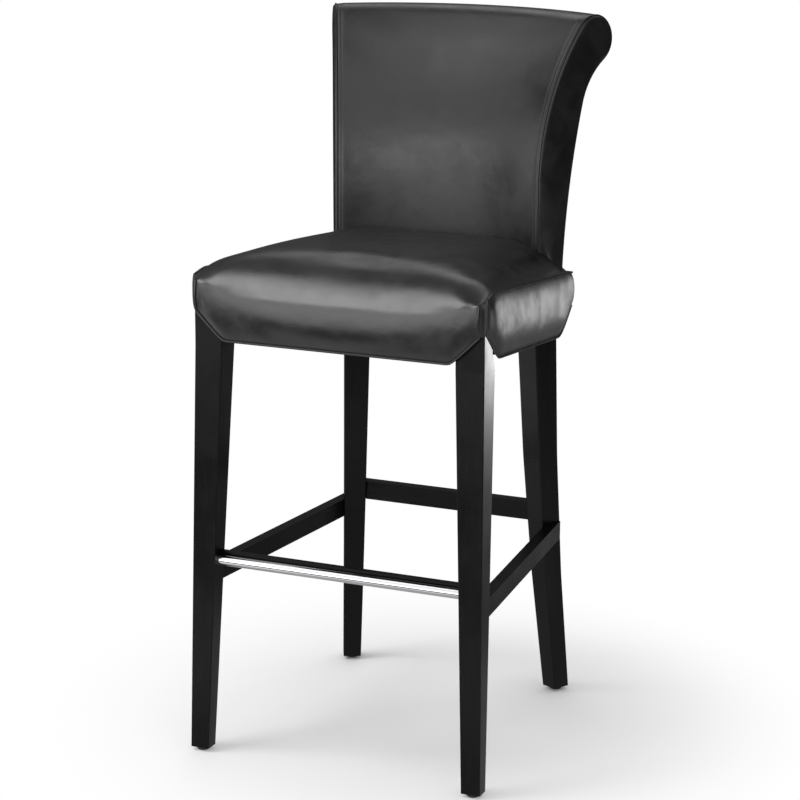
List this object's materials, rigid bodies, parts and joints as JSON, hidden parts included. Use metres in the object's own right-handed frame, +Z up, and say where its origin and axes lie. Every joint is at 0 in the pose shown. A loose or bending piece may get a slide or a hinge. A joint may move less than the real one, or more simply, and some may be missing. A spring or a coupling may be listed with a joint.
{
  "type": "bar stool",
  "caption": "Upholstered bar stool with tapered wooden legs, a chrome foot rail, a crowned leather seat with piped skirts and a curved leather back that rolls over backwards",
  "frame": {"origin": "on the floor, under the middle of the stool's bounding box", "axes": "+X points to the right for someone looking at the stool's front, +Y points to the rear, +Z is up; left and right in the names are that onlooker's"},
  "size_m": [0.4852, 0.5798, 1.1134],
  "materials": {
    "leather": "smooth black leather, soft sheen",
    "lacquer": "black satin lacquer over hardwood",
    "chrome": "polished",
    "zinc_steel": "zinc plated",
    "nylon": "matt black",
    "frame_wood": "bare sawn wood and plywood",
    "foam": "open-cell upholstery foam",
    "cloth": "thin black dust cloth"
  },
  "bodies": {
    "root": {"seat_cover": "leather", "back_cover": "leather", "welt_seat_front": "leather", "welt_seat_left": "leather", "welt_seat_right": "leather", "welt_seat_rear_top": "leather", "welt_seat_rear_hem": "leather", "welt_back_left": "leather", "welt_back_right": "leather", "leg_front_left": "lacquer", "leg_front_right": "lacquer", "leg_rear_left": "lacquer", "leg_rear_right": "lacquer", "stretcher_left": "lacquer", "stretcher_right": "lacquer", "stretcher_rear": "lacquer", "stretcher_front": "lacquer", "footrest_tube": "chrome", "block_bolt_left": "zinc_steel", "block_bolt_right": "zinc_steel", "rear_screw_left": "zinc_steel", "rear_screw_right": "zinc_steel", "glide_front_left": "nylon", "glide_front_right": "nylon", "glide_rear_left": "nylon", "glide_rear_right": "nylon", "rail_front": "frame_wood", "rail_rear": "frame_wood", "rail_left": "frame_wood", "rail_right": "frame_wood", "corner_block_left": "frame_wood", "corner_block_right": "frame_wood", "seat_board": "frame_wood", "back_crest_rail": "frame_wood", "back_panel": "frame_wood", "back_lower_rail": "frame_wood", "back_board": "frame_wood", "stretcher_dowel_left": "frame_wood", "stretcher_dowel_right": "frame_wood", "seat_foam": "foam", "back_foam": "foam", "dust_cover": "cloth"}
  },
  "joints": []
}
